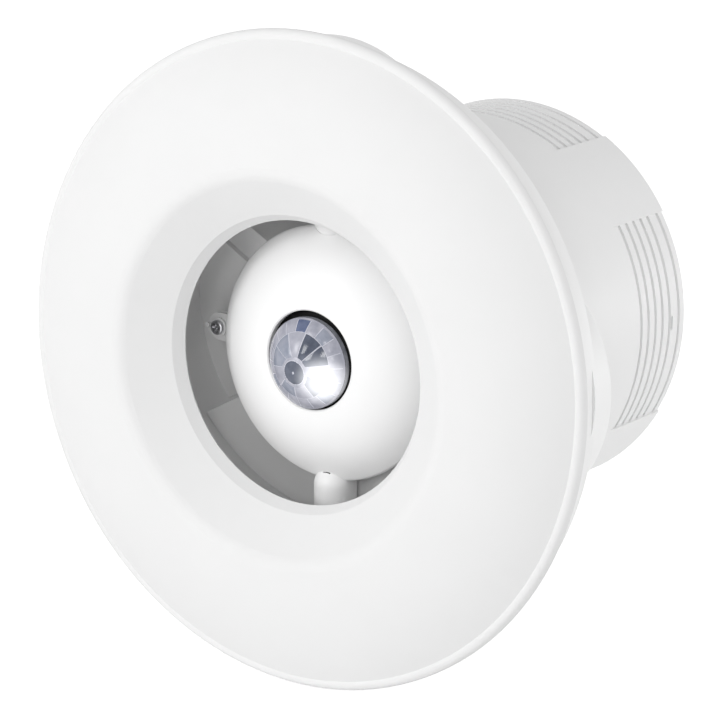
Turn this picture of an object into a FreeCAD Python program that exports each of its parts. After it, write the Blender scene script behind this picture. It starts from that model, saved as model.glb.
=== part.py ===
import FreeCAD, Part
import math
import os

# Bathroom extractor fan for a round duct, with a motion sensor in the middle of its front.
# The fan's axis is Y. The wall plane is y = 0, the room is on the minus Y side, Z is up.
# A clock angle is in degrees, clockwise from the top as seen from the room.
# All sizes are in millimetres.

Vector = FreeCAD.Vector
CENTRE = Vector(0, 0, 0)
FAN_AXIS = Vector(0, 1, 0)

# Front panel
panel_overhang = 29.5
panel_rim_stand = 16.5
panel_crest_radius = 48.0
panel_crest_height = 10.3
panel_wall = 2.2
panel_edge_inset = 2.4
panel_edge_height = 1.5
panel_lip_depth = 3.0
panel_lip_thickness = 1.0
panel_edge_bulge = 0.55
panel_edge_bulge_height = 1.08
panel_under_inset = 0.7
panel_under_depth = 1.0
dish_crest_round = 5.5
dish_slope = 36.6
inlet_radius = 34.1
inlet_lip_width = 1.7
inlet_lip_depth = 2.8
inlet_back_width = 1.1
inlet_back_depth = 0.95
inlet_bulge_width = 0.35
inlet_bulge_depth = 0.75
clip_count = 4
clip_first_angle = 22.0
clip_width = 12.0
clip_length = 6.0
clip_thickness = 1.6

# Housing: round tray and lobed foot in one moulding, with the duct spigot set in it
tray_inset = 3.7
tray_wall = 2.0
tray_front_gap = 0.8
foot_side_overhang = 13.8
foot_corner = 33.0
foot_depth = 7.0
foot_edge_round = 1.8
shelf_thickness = 2.5
floor_thickness = 2.5
duct_radius = 49.5
duct_wall = 2.2
duct_length = 77.7
throat_front = 14.0
spigot_step = 0.3
spigot_shoulder = 1.2
spigot_flange = 1.5
spigot_flange_thickness = 1.2
fit_gap = 0.3
weld = 0.5
beyond = 1.0

# Grooved zones at the end of the spigot
zone_count = 4
zone_angle = 62.0
zone_start = 54.5
zone_step = 0.5
groove_count = 5
groove_first = 57.3
groove_pitch = 3.35
groove_width = 1.1
groove_depth = 0.9
rim_groove_from_end = 2.6
slot_from_end = 5.9
slot_angle = 91.0
slot_length = 3.3
slot_width = 0.8

# Wall screws and cable entry
wall_screw_count = 4
wall_screw_out = 15.0
wall_screw_hole = 2.25
wall_boss_radius = 5.0
wall_boss_height = 3.5
grommet_out = 7.5
grommet_angle = 99.0
grommet_neck = 4.9
grommet_flange = 6.3
grommet_bore = 3.3
grommet_flange_thickness = 1.1
grommet_recess = 1.3

# Sensor cap in the middle
cap_radius = 30.9
cap_rim_stand = 4.3
cap_sphere = 53.0
cap_wall = 1.8
cap_rim_thickness = 0.6
cap_edge_bevel = 0.35
cap_hole = 12.0
cap_seat_radius = 28.3
cap_seat_wall = 1.4

# Bridge that carries the sensor across the inlet
bridge_plate_radius = 28.6
bridge_plate = 1.4
bridge_stand = 0.2
arm_radius = 5.25
arm_front = 7.2
upper_arm_angle = 0.0
lower_arm_angle = 180.0
arm_end_circle = 32.6
arm_foot_out = 9.5
arm_screw_out = 5.5
arm_screw_seat = 5.0
arm_screw_end = 0.6
pilot_floor = 0.4

# Sensor tray, its ears and screws
tray_plate = 1.2
tray_plate_radius = 26.3
tray_rim_wall = 1.2
tray_rim_height = 1.2
ear_angle = -87.3
ear_circle = 33.8
ear_radius = 3.4
ear_pad_radius = 2.3
ear_pad_height = 0.6
tray_screw_out = 0.5
nub_radius = 0.6
nub_height = 0.9
nub_out = 3.2
post_count = 4
post_circle = 17.0
post_radius = 1.6
post_height = 1.1

# Sensor electronics and lens
sensor_board_radius = 21.5
sensor_board_hole = 0.9
board_thickness = 1.6
can_radius = 4.6
can_height = 4.2
can_flange = 0.5
can_window_width = 3.8
can_window_height = 3.0
can_window_depth = 0.3
lens_radius = 11.0
lens_wall = 1.0
lens_flange_radius = 13.4
lens_flange = 1.2
lens_seat_gap = 0.06
lens_side_height = 3.2
lens_dome_height = 4.8
lens_drop = 0.5
holder_wall = 1.6
led_radius = 1.5
led_height = 3.0
led_circle = 7.0
led_angle = 127.0

# Screws
small_shank = 1.1
small_head = 1.8
small_head_height = 1.1
large_shank = 1.45
large_head = 3.0
large_head_height = 2.0
screw_clearance = 0.1
cross_width = 0.5
cross_reach_share = 0.62
cross_depth_share = 0.55
head_round_share = 0.45
screw_slot_depth = 0.55

# Impeller
blade_count = 6
blade_first_angle = -58.0
blade_wrap_angle = 58.0
blade_front = 1.0
blade_tip_depth = 10.0
blade_root_depth = 13.0
blade_front_thickness = 1.7
blade_back_thickness = 1.0
blade_tip_gap = 0.9
blade_sections = 7
hub_radius = 20.0
hub_depth = 14.0
hub_wall = 1.8
hub_edge_round = 2.5
hub_boss = 4.0
hub_boss_inset = 1.0
hub_rib_width = 1.2
hub_rib_depth = 7.0
clip_ring_radius = 3.0
clip_ring_thickness = 0.8

# Motor
motor_radius = 24.5
motor_wall = 1.8
motor_front = 17.0
motor_split = 33.0
motor_back = 50.0
motor_edge_round = 3.0
shaft_radius = 1.5
running_clearance = 0.05
bearing_radius = 5.0
bearing_width = 4.0
bearing_race = 0.9
bearing_groove = 0.25
bearing_seat_wall = 1.4
stator_radius = 22.2
stator_yoke = 4.6
stator_bore = 8.9
stator_front = 26.0
stator_thickness = 14.0
pole_count = 4
pole_width = 7.0
pole_shoe = 1.9
pole_shoe_angle = 64.0
air_gap = 0.4
rotor_over = 0.5
rotor_end_ring = 1.2
coil_inner = 11.8
coil_outer = 16.0
coil_half_width = 6.6
coil_end = 3.0
coil_corner = 1.2
bobbin_wall = 0.8
motor_screw_circle = 19.8
motor_post_radius = 2.3
motor_screw_depth = 4.5
shaft_hole_gap = 0.6
motor_joint_gap = 0.1
motor_screw_first_angle = 45.0
strut_count = 3
strut_first_angle = 105.0
strut_thickness = 2.6
bracket_ring_wall = 1.7
bracket_ring_front = 36.0
bracket_ring_length = 10.0

# Timer board and what stands on it
board_angle = 225.0
board_inner_gap = 2.0
board_outer_gap = 4.3
board_half_length = 21.0
board_stand = 10.0
board_post_radius = 2.0
board_corner = 1.5
board_hole_inset_side = 3.5
board_hole_inset = 3.0
board_screw_depth = 4.5
parts_left_side = -12.5
part_corner = 0.5
relay_length = 10.0
relay_width_share = 0.515
relay_inner_share = 0.314
relay_height = 7.2
capacitor_length = 12.0
capacitor_width_share = 0.25
capacitor_height = 7.5
connector_left = 0.5
connector_length = 4.4
connector_from_edge = 7.0
connector_width = 5.5
connector_height = 4.5
connector_wall = 0.8
trimmer_body_radius = 3.4
trimmer_body_height = 3.0
trimmer_knob_radius = 2.5
trimmer_knob_height = 1.4
trimmer_spindle = 1.0
trimmer_spindle_depth = 1.8
trimmer_body_floor = 0.8
trimmer_knob_gap = 0.1
trimmer_slot_width = 0.8
trimmer_slot_length = 3.8
trimmer_slot_depth = 0.7
trimmer_circle_share = 0.314
delay_trimmer_side = 8.5
light_trimmer_side = 16.0

# Terminal block and cable clamp
block_angle = 135.0
block_inner_gap = 2.5
block_outer_gap = 6.3
block_half_length = 15.0
block_height = 8.5
block_rib_inset = 4.0
block_rib_width = 2.0
block_ways = 3
block_pitch = 9.0
well_radius = 2.2
well_depth = 4.0
wire_hole = 1.5
block_groove_width = 1.0
block_groove_depth = 1.5
terminal_screw_inset = 1.2
terminal_screw_gap = 0.15
terminal_slot_width = 0.7
terminal_slot_depth = 0.9
clamp_angle = 112.0
clamp_inner_gap = 1.5
clamp_outer_gap = 14.5
clamp_half_width = 3.5
clamp_thickness = 2.4
clamp_stand = 6.5
clamp_post = 1.9
clamp_cable = 3.3
clamp_cable_back = 1.9
clamp_screw_depth = 4.0

# Wires inside the fan
wire_radius = 0.55
wire_gap = 0.3
motor_wire_half_angle = 1.6
motor_wire_bend = 1.2
motor_wire_tray_y = -5.2
motor_wire_end_out = 6.5
sensor_lead_radius = 0.7
sensor_lead_bend = 3.0
sensor_lead_turn_out = 1.5
lead_way_out = 2.2
sensor_lead_end_out = 7.5
sensor_lead_end_side = -9.0
supply_wire_out = 7.5
supply_wire_middle_out = 7.0
supply_wire_bend = 60.0

# Places worked out from the sizes above
panel_radius = duct_radius + panel_overhang
tray_radius = panel_radius - tray_inset
panel_rim_y = -panel_rim_stand
panel_crest_y = panel_rim_y - panel_crest_height
tray_inner = tray_radius - tray_wall
tray_front_y = panel_rim_y + tray_front_gap
shelf_y = -foot_depth - shelf_thickness
floor_y = -floor_thickness
foot_half_side = duct_radius + foot_side_overhang
wall_screw_circle = duct_radius + wall_screw_out
grommet_circle = duct_radius + grommet_out
arm_foot_circle = duct_radius + arm_foot_out
arm_screw_circle = duct_radius + arm_screw_out
clamp_inner = duct_radius + clamp_inner_gap
clamp_outer = duct_radius + clamp_outer_gap
motor_wire_end_circle = duct_radius + motor_wire_end_out
sensor_lead_turn_circle = duct_radius + sensor_lead_turn_out
sensor_lead_end_circle = duct_radius + sensor_lead_end_out
supply_wire_circle = duct_radius + supply_wire_out
supply_wire_middle = duct_radius + supply_wire_middle_out
duct_bore = duct_radius - duct_wall
throat_radius = duct_radius - spigot_step
shoulder_radius = throat_radius + spigot_shoulder
flange_radius = throat_radius + spigot_flange
board_inner = duct_radius + board_inner_gap
board_outer = tray_inner - board_outer_gap
board_width = board_outer - board_inner
relay_width = relay_width_share * board_width
relay_inner = board_inner + relay_inner_share * board_width
capacitor_width = capacitor_width_share * board_width
connector_inner = board_outer - connector_from_edge
trimmer_circle = board_inner + trimmer_circle_share * board_width
block_inner = duct_radius + block_inner_gap
block_outer = tray_inner - block_outer_gap
cap_rim_y = -cap_rim_stand
cap_centre_y = cap_rim_y + math.sqrt(cap_sphere ** 2 - cap_radius ** 2)
bridge_back_y = -bridge_stand
bridge_front_y = bridge_back_y - bridge_plate
arm_axis_y = -arm_front + arm_radius
tray_plate_front_y = bridge_front_y - tray_plate
sensor_board_back_y = tray_plate_front_y - post_height
sensor_board_front_y = sensor_board_back_y - board_thickness
blade_tip_radius = duct_bore - blade_tip_gap
hub_back_y = blade_front + hub_depth
board_back_y = -board_stand
board_front_y = board_back_y - board_thickness
block_front_y = shelf_y - block_height


def on_profile(radius, y):
    return Vector(radius, y, 0)


def line(start, end):
    return Part.LineSegment(on_profile(*start), on_profile(*end)).toShape()


def arc(start, middle, end):
    return Part.Arc(on_profile(*start), on_profile(*middle), on_profile(*end)).toShape()


def around(centre, radius, degrees):
    """A point of a circle in the profile plane; 0 points forwards, 90 points outwards."""
    turn = math.radians(degrees)
    return (centre[0] + radius * math.sin(turn), centre[1] - radius * math.cos(turn))


def spun(edges):
    """A solid turned about the fan's axis from a closed profile."""
    face = Part.Face(Part.Wire(edges))
    return face.revolve(CENTRE, FAN_AXIS, 360)


def disc(radius, front, back):
    return Part.makeCylinder(radius, back - front, Vector(0, front, 0), FAN_AXIS)


def ring(outer, inner, front, back):
    return disc(outer, front, back).cut(disc(inner, front - beyond, back + beyond))


def block(left, right, front, back, bottom, top):
    return Part.makeBox(right - left, back - front, top - bottom, Vector(left, front, bottom))


def post(radius, front, back, side, height):
    """A round bar parallel to the fan's axis."""
    return Part.makeCylinder(radius, back - front, Vector(side, front, height), FAN_AXIS)


def clocked(shape, clock):
    """A copy of what stands at twelve o'clock, moved to another clock angle."""
    copy = shape.copy()
    copy.rotate(CENTRE, FAN_AXIS, clock)
    return copy


def clock_point(radius, y, clock, side=0.0):
    """The point at a radius, with a sideways shift, for a clock angle."""
    turn = math.radians(clock)
    x = radius * math.sin(turn) + side * math.cos(turn)
    z = radius * math.cos(turn) - side * math.sin(turn)
    return Vector(x, y, z)


def repeated(shape, count, first_clock):
    copies = []
    for index in range(count):
        copies.append(clocked(shape, first_clock + index * 360.0 / count))
    return copies


def joined(shapes):
    whole = shapes[0]
    for shape in shapes[1:]:
        whole = whole.fuse(shape)
    return whole.removeSplitter()


def cut_all(shape, tools):
    for tool in tools:
        shape = shape.cut(tool)
    return shape


def save(name, shape):
    """Writes one piece, or one group of like pieces, as a STEP file."""
    solids = shape.Solids
    result = solids[0] if len(solids) == 1 else Part.makeCompound(solids)
    result.exportStep(os.path.join("parts", name + ".step"))
    print(name, "solids", len(solids), "valid", result.isValid(), "volume", round(result.Volume, 1))


def screw(head_front, head_radius, head_height, shank_radius, shank_end, side, height):
    """A cross-head screw along the fan's axis, its head towards the room."""
    head_back = head_front + head_height
    head = post(head_radius, head_front, head_back, side, height)
    rim = [edge for edge in head.Edges if abs(edge.CenterOfMass.y - head_front) < 0.001]
    head = head.makeFillet(head_height * head_round_share, rim)
    cross_back = head_front + head_height * cross_depth_share
    shank = post(shank_radius, cross_back, shank_end, side, height)
    whole = joined([head, shank])
    reach = head_radius * cross_reach_share
    half = cross_width / 2
    front = head_front - beyond
    for width, length in ((half, reach), (reach, half)):
        slot = block(side - width, side + width, front, cross_back, height - length, height + length)
        whole = whole.cut(slot)
    return whole


# Front panel

def dome_centre_and_radius():
    """The dome is tangent to the crest and meets the rounded edge at the rim."""
    run = panel_radius - panel_edge_inset - panel_crest_radius
    drop = panel_crest_height - panel_edge_height
    radius = (run ** 2 + drop ** 2) / (2 * drop)
    return (panel_crest_radius, panel_crest_y + radius), radius


def on_dome(centre, radius, out):
    return (out, centre[1] - math.sqrt(radius ** 2 - (out - centre[0]) ** 2))


def panel_inner_y(out):
    """Where the panel's back surface lies, outside its crest."""
    centre, radius = dome_centre_and_radius()
    return on_dome(centre, radius - panel_wall, out)[1]


def make_front_panel():
    centre, radius = dome_centre_and_radius()
    inner_radius = radius - panel_wall
    lip_inner = tray_radius + fit_gap
    lip_outer = lip_inner + panel_lip_thickness
    lip_back = panel_rim_y + panel_lip_depth
    dome_edge = on_dome(centre, radius, panel_radius - panel_edge_inset)
    dome_middle = on_dome(centre, radius, (panel_crest_radius + panel_radius) / 2)
    crest = (panel_crest_radius, panel_crest_y)
    inner_crest = (panel_crest_radius, panel_crest_y + panel_wall)
    crest_centre = (panel_crest_radius, panel_crest_y + dish_crest_round)
    inner_round = dish_crest_round - panel_wall
    crest_middle = around(crest_centre, dish_crest_round, -dish_slope / 2)
    crest_end = around(crest_centre, dish_crest_round, -dish_slope)
    inner_crest_middle = around(crest_centre, inner_round, -dish_slope / 2)
    inner_crest_end = around(crest_centre, inner_round, -dish_slope)
    fall = math.tan(math.radians(dish_slope))
    lip_start_radius = inlet_radius + inlet_lip_width
    lip_start = (lip_start_radius, crest_end[1] + (crest_end[0] - lip_start_radius) * fall)
    inlet_edge = (inlet_radius, lip_start[1] + inlet_lip_depth)
    inlet_back = (inlet_radius + inlet_bulge_width, inlet_edge[1] + inlet_bulge_depth)
    inlet_turn = (inlet_radius + inlet_back_width, inlet_edge[1] + inlet_back_depth)
    inner_lip_radius = lip_start_radius + panel_wall * math.sin(math.radians(dish_slope))
    inner_lip = (inner_lip_radius, inner_crest_end[1] + (inner_crest_end[0] - inner_lip_radius) * fall)
    inner_edge = on_dome(centre, inner_radius, lip_inner)
    inner_middle = on_dome(centre, inner_radius, (panel_crest_radius + lip_inner) / 2)
    edge_middle = (panel_radius - panel_edge_bulge, panel_rim_y - panel_edge_bulge_height)
    under_middle = (panel_radius - panel_under_inset, panel_rim_y + panel_under_depth)
    edges = [
        line((lip_inner, lip_back), (lip_outer, lip_back)),
        arc((lip_outer, lip_back), under_middle, (panel_radius, panel_rim_y)),
        arc((panel_radius, panel_rim_y), edge_middle, dome_edge),
        arc(dome_edge, dome_middle, crest),
        arc(crest, crest_middle, crest_end),
        line(crest_end, lip_start),
        line(lip_start, inlet_edge),
        arc(inlet_edge, inlet_back, inlet_turn),
        line(inlet_turn, inner_lip),
        line(inner_lip, inner_crest_end),
        arc(inner_crest_end, inner_crest_middle, inner_crest),
        arc(inner_crest, inner_middle, inner_edge),
        line(inner_edge, (lip_inner, lip_back)),
    ]
    return spun(edges)


def make_panel_clips():
    """Curved spring legs behind the panel that grip the inside of the tray's wall."""
    outer = tray_inner - fit_gap
    front = panel_inner_y(outer) + running_clearance
    back = tray_front_y + clip_length
    band = ring(outer, outer - clip_thickness, front, back)
    window = block(-clip_width / 2, clip_width / 2, front, back, 0, panel_radius)
    return Part.makeCompound(repeated(band.common(window), clip_count, clip_first_angle))


# Housing

def lobed_prism(half_side, corner, front, back):
    """A rounded square turned by 45 degrees, so that its corners are at 12, 3, 6 and 9 o'clock."""
    square = block(-half_side, half_side, front, back, -half_side, half_side)
    uprights = []
    for edge in square.Edges:
        if edge.BoundBox.YLength > (back - front) / 2:
            uprights.append(edge)
    return clocked(square.makeFillet(corner, uprights), 45.0)


def rounded_foot():
    foot = lobed_prism(foot_half_side, foot_corner, -foot_depth - shelf_thickness / 2, 0)
    back_edges = [edge for edge in foot.Edges if abs(edge.CenterOfMass.y) < 0.001]
    return foot.makeFillet(foot_edge_round, back_edges)


def duct_sector(outer, inner, front, back, angle):
    """A piece of a ring, centred on twelve o'clock."""
    corners = [
        Vector(0, front, inner),
        Vector(0, front, outer),
        Vector(0, back, outer),
        Vector(0, back, inner),
    ]
    face = Part.Face(Part.makePolygon(corners + [corners[0]]))
    face.rotate(CENTRE, FAN_AXIS, -angle / 2)
    return face.revolve(CENTRE, FAN_AXIS, angle)


def groove_places():
    places = []
    for index in range(groove_count):
        places.append(groove_first + index * groove_pitch)
    places.append(duct_length - rim_groove_from_end)
    return places


def groove_tools():
    """The recess of one grooved zone with its grooves, for each zone."""
    clear = duct_radius + beyond
    recess_radius = duct_radius - zone_step
    parts = [duct_sector(clear, recess_radius, zone_start, duct_length + beyond, zone_angle)]
    for place in groove_places():
        front = place - groove_width / 2
        back = place + groove_width / 2
        parts.append(duct_sector(clear, recess_radius - groove_depth, front, back, zone_angle))
    return repeated(joined(parts), zone_count, 0.0)


def board_post_places():
    """Side shift and radius of each post under the timer board."""
    side = board_half_length - board_hole_inset_side
    inner = board_inner + board_hole_inset
    outer = board_outer - board_hole_inset
    return [(-side, inner), (side, inner), (-side, outer), (side, outer)]


def board_screw_places():
    """Only two opposite corners of the board are screwed down."""
    places = board_post_places()
    return [places[0], places[3]]


def clamp_screw_places():
    return [clamp_inner + clamp_post, clamp_outer - clamp_post]


def housing_additions():
    """Bosses, posts and ribs that stand on the housing's floor."""
    root = floor_y + weld
    boss = post(wall_boss_radius, floor_y - wall_boss_height, root, 0, wall_screw_circle)
    parts = repeated(boss, wall_screw_count, 0.0)
    for side, out in board_post_places():
        parts.append(clocked(post(board_post_radius, board_back_y, root, side, out), board_angle))
    rib_side = block_half_length - block_rib_inset
    for side in (-rib_side, rib_side):
        left = side - block_rib_width / 2
        rib = block(left, left + block_rib_width, shelf_y, root, duct_radius, block_outer)
        parts.append(clocked(rib, block_angle))
    for out in clamp_screw_places():
        parts.append(clocked(post(clamp_post, -clamp_stand, root, 0, out), clamp_angle))
    return parts


def make_fan_housing():
    outside = rounded_foot().fuse(disc(tray_radius, tray_front_y, -foot_depth))
    foot_inner_half = foot_half_side - tray_wall
    foot_cavity = lobed_prism(foot_inner_half, foot_corner - tray_wall, shelf_y - weld, floor_y)
    foot_cavity = foot_cavity.common(disc(tray_inner, shelf_y - beyond, beyond))
    tray_cavity = disc(tray_inner, tray_front_y - beyond, shelf_y)
    shell = outside.cut(foot_cavity).cut(tray_cavity)
    additions = [piece.common(outside) for piece in housing_additions()]
    body = joined([shell] + additions)
    body = body.cut(disc(shoulder_radius + running_clearance, floor_y - beyond, beyond))
    body = body.cut(disc(flange_radius + running_clearance, -panel_rim_stand - beyond, floor_y))
    wall_hole = post(wall_screw_hole, -tray_radius, beyond, 0, wall_screw_circle)
    body = cut_all(body, repeated(wall_hole, wall_screw_count, 0.0))
    pilot = post(large_shank + running_clearance, floor_y - beyond, -pilot_floor, 0, arm_screw_circle)
    body = cut_all(body, repeated(pilot, 2, upper_arm_angle))
    neck = post(grommet_neck + running_clearance, floor_y - beyond, beyond, 0, grommet_circle)
    recess = post(grommet_flange + fit_gap, -grommet_recess, beyond, 0, grommet_circle)
    body = cut_all(body, [clocked(neck, grommet_angle), clocked(recess, grommet_angle)])
    small_hole = small_shank + running_clearance
    for side, out in board_screw_places():
        hole_back = board_back_y + board_screw_depth + weld
        hole = post(small_hole, board_back_y - beyond, hole_back, side, out)
        body = body.cut(clocked(hole, board_angle))
    for out in clamp_screw_places():
        hole = post(small_hole, -clamp_stand - beyond, -clamp_stand + clamp_screw_depth + weld, 0, out)
        body = body.cut(clocked(hole, clamp_angle))
    return body


def make_duct_spigot():
    """The tube, with a shoulder in the floor's hole, a flange on the floor and a narrower throat."""
    throat = disc(throat_radius, -throat_front, beyond)
    tube = disc(duct_radius, 0, duct_length)
    shoulder = disc(shoulder_radius, floor_y, 0)
    flange = disc(flange_radius, floor_y - spigot_flange_thickness, floor_y)
    body = joined([throat, tube, shoulder, flange])
    body = body.cut(disc(duct_bore, -throat_front - beyond, duct_length + beyond))
    hole_start = duct_bore - beyond
    hole_end = duct_radius + 2 * beyond
    arm_half = arm_radius + fit_gap
    arm_slot = block(-arm_half, arm_half, -throat_front - beyond, floor_y, hole_start, hole_end)
    slot_front = duct_length - slot_from_end - slot_width / 2
    slot_half = slot_length / 2
    slot = block(-slot_half, slot_half, slot_front, slot_front + slot_width, hole_start, hole_end)
    body = cut_all(body, repeated(arm_slot, 2, upper_arm_angle))
    body = cut_all(body, groove_tools() + [clocked(slot, slot_angle)])
    return cut_all(body, wire_channels())


# The motor's two wires run in shallow channels on the outside of the duct

def motor_wire_clocks():
    """The two wires lie side by side at the strut nearest the timer board."""
    return [board_angle - motor_wire_half_angle, board_angle + motor_wire_half_angle]


def motor_wire_exit_y():
    return bracket_ring_front - wire_radius - wire_gap


def motor_wire_channel_radius():
    return throat_radius - wire_radius - screw_clearance


def wire_channels():
    tools = []
    half = wire_radius + screw_clearance
    reach = motor_wire_channel_radius() - half
    exit_y = motor_wire_exit_y()
    front = motor_wire_tray_y - half
    open_end = duct_radius + 2 * beyond
    for clock in motor_wire_clocks():
        channel = block(-half, half, front, exit_y + half, reach, open_end)
        hole_front = exit_y - half - motor_wire_bend
        hole = block(-half, half, hole_front, exit_y + half, duct_bore - beyond, duct_radius + beyond)
        tools.append(clocked(channel, clock))
        tools.append(clocked(hole, clock))
    return tools


# Sensor cap, bridge and tray

def arm_capsule(grow=0.0):
    """The half-round arm at twelve o'clock, with its rounded inner end."""
    radius = arm_radius + grow
    start = Vector(0, arm_axis_y, arm_end_circle)
    bar = Part.makeCylinder(radius, arm_foot_circle - arm_end_circle, start, Vector(0, 0, 1))
    tip = Part.makeSphere(radius, start)
    return bar.fuse(tip)


def ear_bar(width, front, back, inner):
    """A bar with a round end that reaches out to the ear's screw."""
    bar = block(-width / 2, width / 2, front, back, inner, ear_circle)
    return bar.fuse(post(width / 2, front, back, 0, ear_circle))


def ear_clocks():
    return [ear_angle, ear_angle + 180.0]


def cap_surface_y(out, depth=0.0):
    return cap_centre_y - math.sqrt((cap_sphere - depth) ** 2 - out ** 2)


def make_sensor_cap():
    inner_sphere = cap_sphere - cap_wall
    rim_back = cap_rim_y + cap_rim_thickness
    inner_rim = math.sqrt(inner_sphere ** 2 - (cap_centre_y - rim_back) ** 2)
    middle = (cap_radius + cap_hole) / 2
    hole_out = cap_hole + cap_edge_bevel
    rim_in = cap_radius - cap_edge_bevel
    hole_start = (hole_out, cap_surface_y(hole_out))
    hole_corner = (cap_hole, cap_surface_y(cap_hole) + cap_edge_bevel)
    hole_back = (cap_hole, cap_surface_y(cap_hole, cap_wall))
    rim_start = (rim_in, cap_surface_y(rim_in))
    rim_corner = (cap_radius, cap_rim_y + cap_edge_bevel / 2)
    edges = [
        arc(hole_start, (middle, cap_surface_y(middle)), rim_start),
        line(rim_start, rim_corner),
        line(rim_corner, (cap_radius, rim_back)),
        line((cap_radius, rim_back), (inner_rim, rim_back)),
        arc((inner_rim, rim_back), (middle, cap_surface_y(middle, cap_wall)), hole_back),
        line(hole_back, hole_corner),
        line(hole_corner, hole_start),
    ]
    shell = spun(edges)
    ball = Part.makeSphere(inner_sphere + cap_wall / 4, Vector(0, cap_centre_y, 0))
    seat_inner = cap_seat_radius - cap_seat_wall
    seat = ring(cap_seat_radius, seat_inner, -panel_rim_stand, bridge_front_y - running_clearance)
    whole = joined([shell, seat.common(ball)])
    whole = cut_all(whole, repeated(arm_capsule(running_clearance), 2, upper_arm_angle))
    ear_width = 2 * (ear_radius + fit_gap)
    ear_front = tray_plate_front_y - fit_gap
    for clock in ear_clocks():
        passage = ear_bar(ear_width, ear_front, bridge_front_y, sensor_board_radius)
        whole = whole.cut(clocked(passage, clock))
    half = sensor_lead_radius + fit_gap
    lead_y = sensor_lead_y()
    lead_slot = block(-half, half, lead_y - half, 0, sensor_board_radius, cap_seat_radius + fit_gap)
    return whole.cut(clocked(lead_slot, lower_arm_angle))


def sensor_lead_y():
    """The lead leaves the sensor board's edge and runs just in front of the tray's rim."""
    rim_front = tray_plate_front_y - tray_rim_height
    return rim_front - sensor_lead_radius - screw_clearance


def lead_channel():
    """The slot in the back of the lower arm, with its way out at the side."""
    half = sensor_lead_radius + fit_gap
    front = sensor_lead_y() - half
    turn = sensor_lead_turn_circle
    along = block(-half, half, front, 0, bridge_plate_radius - weld, turn + half)
    aside = block(-half, arm_radius + beyond, front, 0, turn - lead_way_out, turn + half)
    return clocked(along.fuse(aside), lower_arm_angle)


def make_sensor_bridge():
    plate = disc(bridge_plate_radius, bridge_front_y, bridge_back_y)
    inside = disc(bridge_plate_radius, -panel_rim_stand, bridge_front_y)
    behind = disc(panel_radius, bridge_back_y, panel_radius)
    throat = duct_bore - fit_gap
    over_floor = ring(panel_radius, throat, floor_y, panel_radius)
    seat = post(large_head + fit_gap, -panel_rim_stand, -arm_screw_seat, 0, arm_screw_circle)
    hole = post(large_shank + screw_clearance, -panel_rim_stand, beyond, 0, arm_screw_circle)
    arm = cut_all(arm_capsule(), [inside, behind, over_floor, seat, hole])
    parts = [plate] + repeated(arm, 2, upper_arm_angle)
    ear = ear_bar(2 * ear_radius, bridge_front_y, bridge_back_y, sensor_board_radius)
    for clock in ear_clocks():
        parts.append(clocked(ear, clock))
    whole = joined(parts).cut(lead_channel())
    ear_hole = post(small_shank + running_clearance, -panel_rim_stand, beyond, 0, ear_circle)
    for clock in ear_clocks():
        whole = whole.cut(clocked(ear_hole, clock))
    return whole


def make_sensor_tray():
    plate = disc(tray_plate_radius, tray_plate_front_y, bridge_front_y)
    rim_front = tray_plate_front_y - tray_rim_height
    rim = ring(tray_plate_radius, tray_plate_radius - tray_rim_wall, rim_front, bridge_front_y)
    parts = [plate, rim]
    board_rest = post(post_radius, sensor_board_back_y, bridge_front_y, 0, post_circle)
    parts += repeated(board_rest, post_count, 45.0)
    pad_front = tray_plate_front_y - ear_pad_height
    ear = ear_bar(2 * ear_radius, tray_plate_front_y, bridge_front_y, sensor_board_radius)
    pad = post(ear_pad_radius, pad_front, bridge_front_y, 0, ear_circle)
    nub_front = tray_plate_front_y - nub_height
    nub = post(nub_radius, nub_front, bridge_front_y, 0, ear_circle + nub_out)
    hole = post(small_shank + screw_clearance, -panel_rim_stand, beyond, 0, ear_circle)
    for clock in ear_clocks():
        for piece in (ear, pad, nub):
            parts.append(clocked(piece, clock))
    whole = joined(parts)
    for clock in ear_clocks():
        whole = whole.cut(clocked(hole, clock))
    return whole


def make_tray_screws():
    head_front = tray_plate_front_y - ear_pad_height - small_head_height
    shank_end = bridge_back_y + tray_screw_out
    one = screw(head_front, small_head, small_head_height, small_shank, shank_end, 0, ear_circle)
    return Part.makeCompound([clocked(one, clock) for clock in ear_clocks()])


def make_bridge_screws():
    head_front = -arm_screw_seat - large_head_height
    shank_end = -arm_screw_end
    one = screw(head_front, large_head, large_head_height, large_shank, shank_end, 0, arm_screw_circle)
    return Part.makeCompound(repeated(one, 2, upper_arm_angle))


# Sensor electronics and lens

def make_sensor_board():
    board = disc(sensor_board_radius, sensor_board_front_y, sensor_board_back_y)
    hole = post(sensor_board_hole, -panel_rim_stand, 0, 0, post_circle)
    return cut_all(board, repeated(hole, post_count, 45.0))


def make_pir_sensor():
    flange = disc(can_radius + can_flange, sensor_board_front_y - can_flange, sensor_board_front_y)
    can = disc(can_radius, sensor_board_front_y - can_height, sensor_board_front_y)
    window_back = sensor_board_front_y - can_height + can_window_depth
    half_width = can_window_width / 2
    half_height = can_window_height / 2
    window = block(-half_width, half_width, -panel_rim_stand, window_back, -half_height, half_height)
    return joined([flange, can]).cut(window)


def make_status_led():
    tip = sensor_board_front_y - led_height + led_radius
    body = post(led_radius, tip, sensor_board_front_y, 0, led_circle)
    dome = Part.makeSphere(led_radius, Vector(0, tip, led_circle))
    return clocked(joined([body, dome]), led_angle)


def lens_flange_y():
    """The lens sits a little low, its flange just behind the inner face of the cap."""
    return cap_surface_y(lens_flange_radius + lens_drop, cap_wall) + lens_seat_gap


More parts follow.
